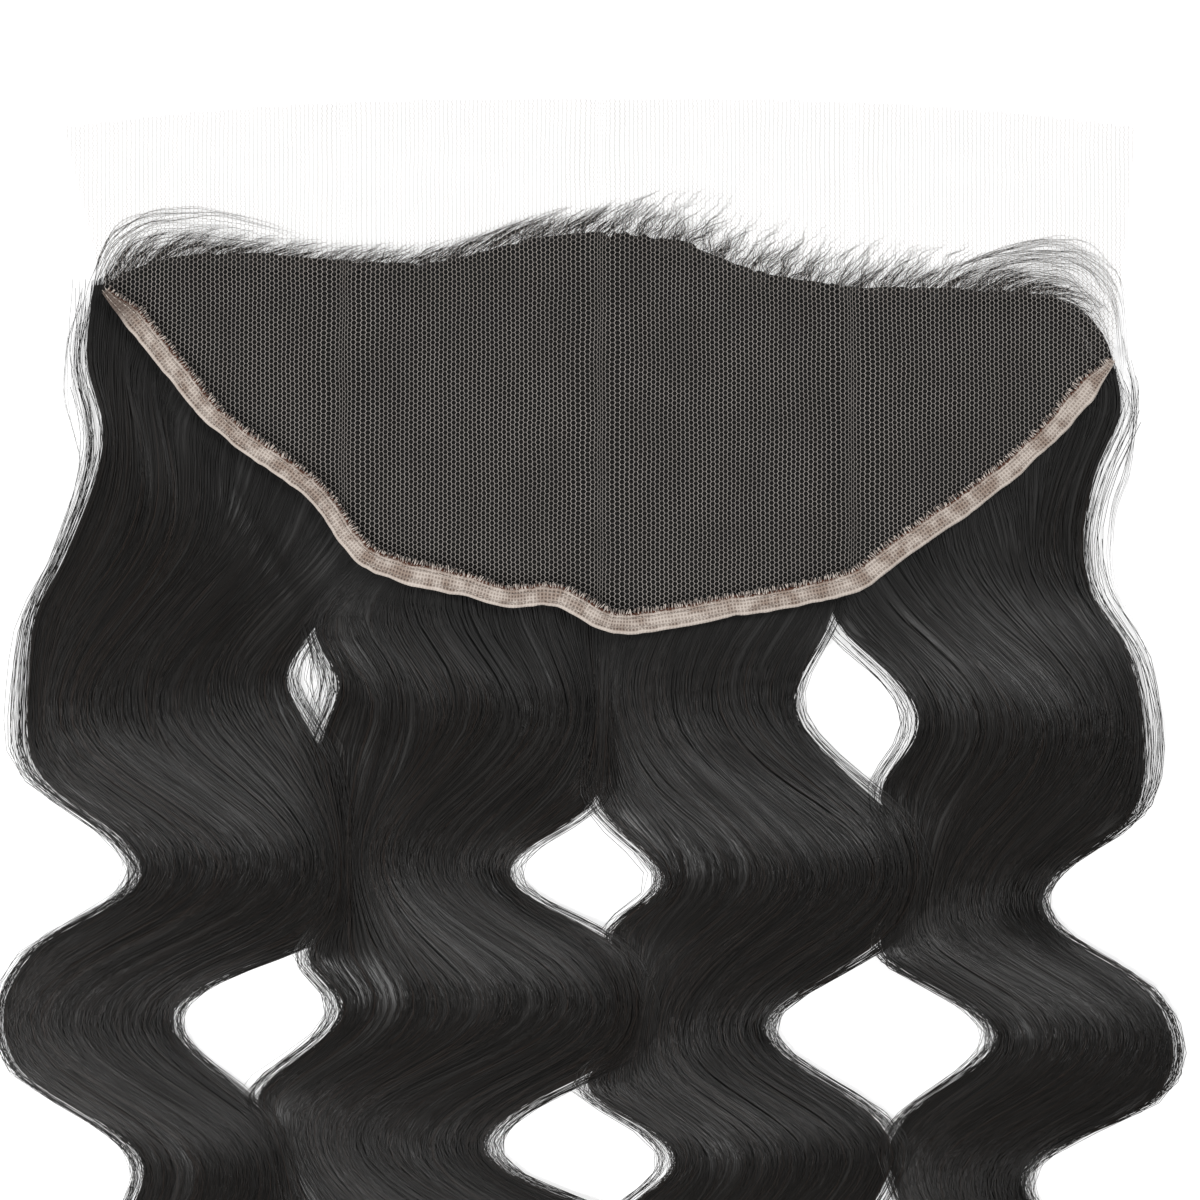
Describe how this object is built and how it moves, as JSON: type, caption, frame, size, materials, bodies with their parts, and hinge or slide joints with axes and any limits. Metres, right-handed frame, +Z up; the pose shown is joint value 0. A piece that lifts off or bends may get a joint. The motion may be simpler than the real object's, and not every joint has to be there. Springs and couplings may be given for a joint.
{
  "type": "lace frontal hairpiece",
  "caption": "Ear-to-ear lace frontal hairpiece laid flat, inner side of the lace up: half-moon mesh base, bound rear edge and long waved dark hair in parted locks.",
  "frame": {"origin": "middle of the base of the piece's box, on the surface that it lies on", "axes": "+X to the picture's right, along the ear-to-ear width; +Y from the hair's ends to the front edge of the lace; +Z up, away from the surface"},
  "size_m": [0.3796, 0.421, 0.0118],
  "materials": {
    "lace": "matt, sheer fine mesh",
    "binding": "matt folded net tape with stitch lines",
    "hair": "satin strands with highlight bands across the waves"
  },
  "bodies": {
    "root": {"lace_base": "lace", "edge_binding": "binding", "hair_lock_left_outer": "hair", "hair_lock_left_inner": "hair", "hair_lock_right_inner": "hair", "hair_lock_right_outer": "hair"}
  },
  "joints": []
}
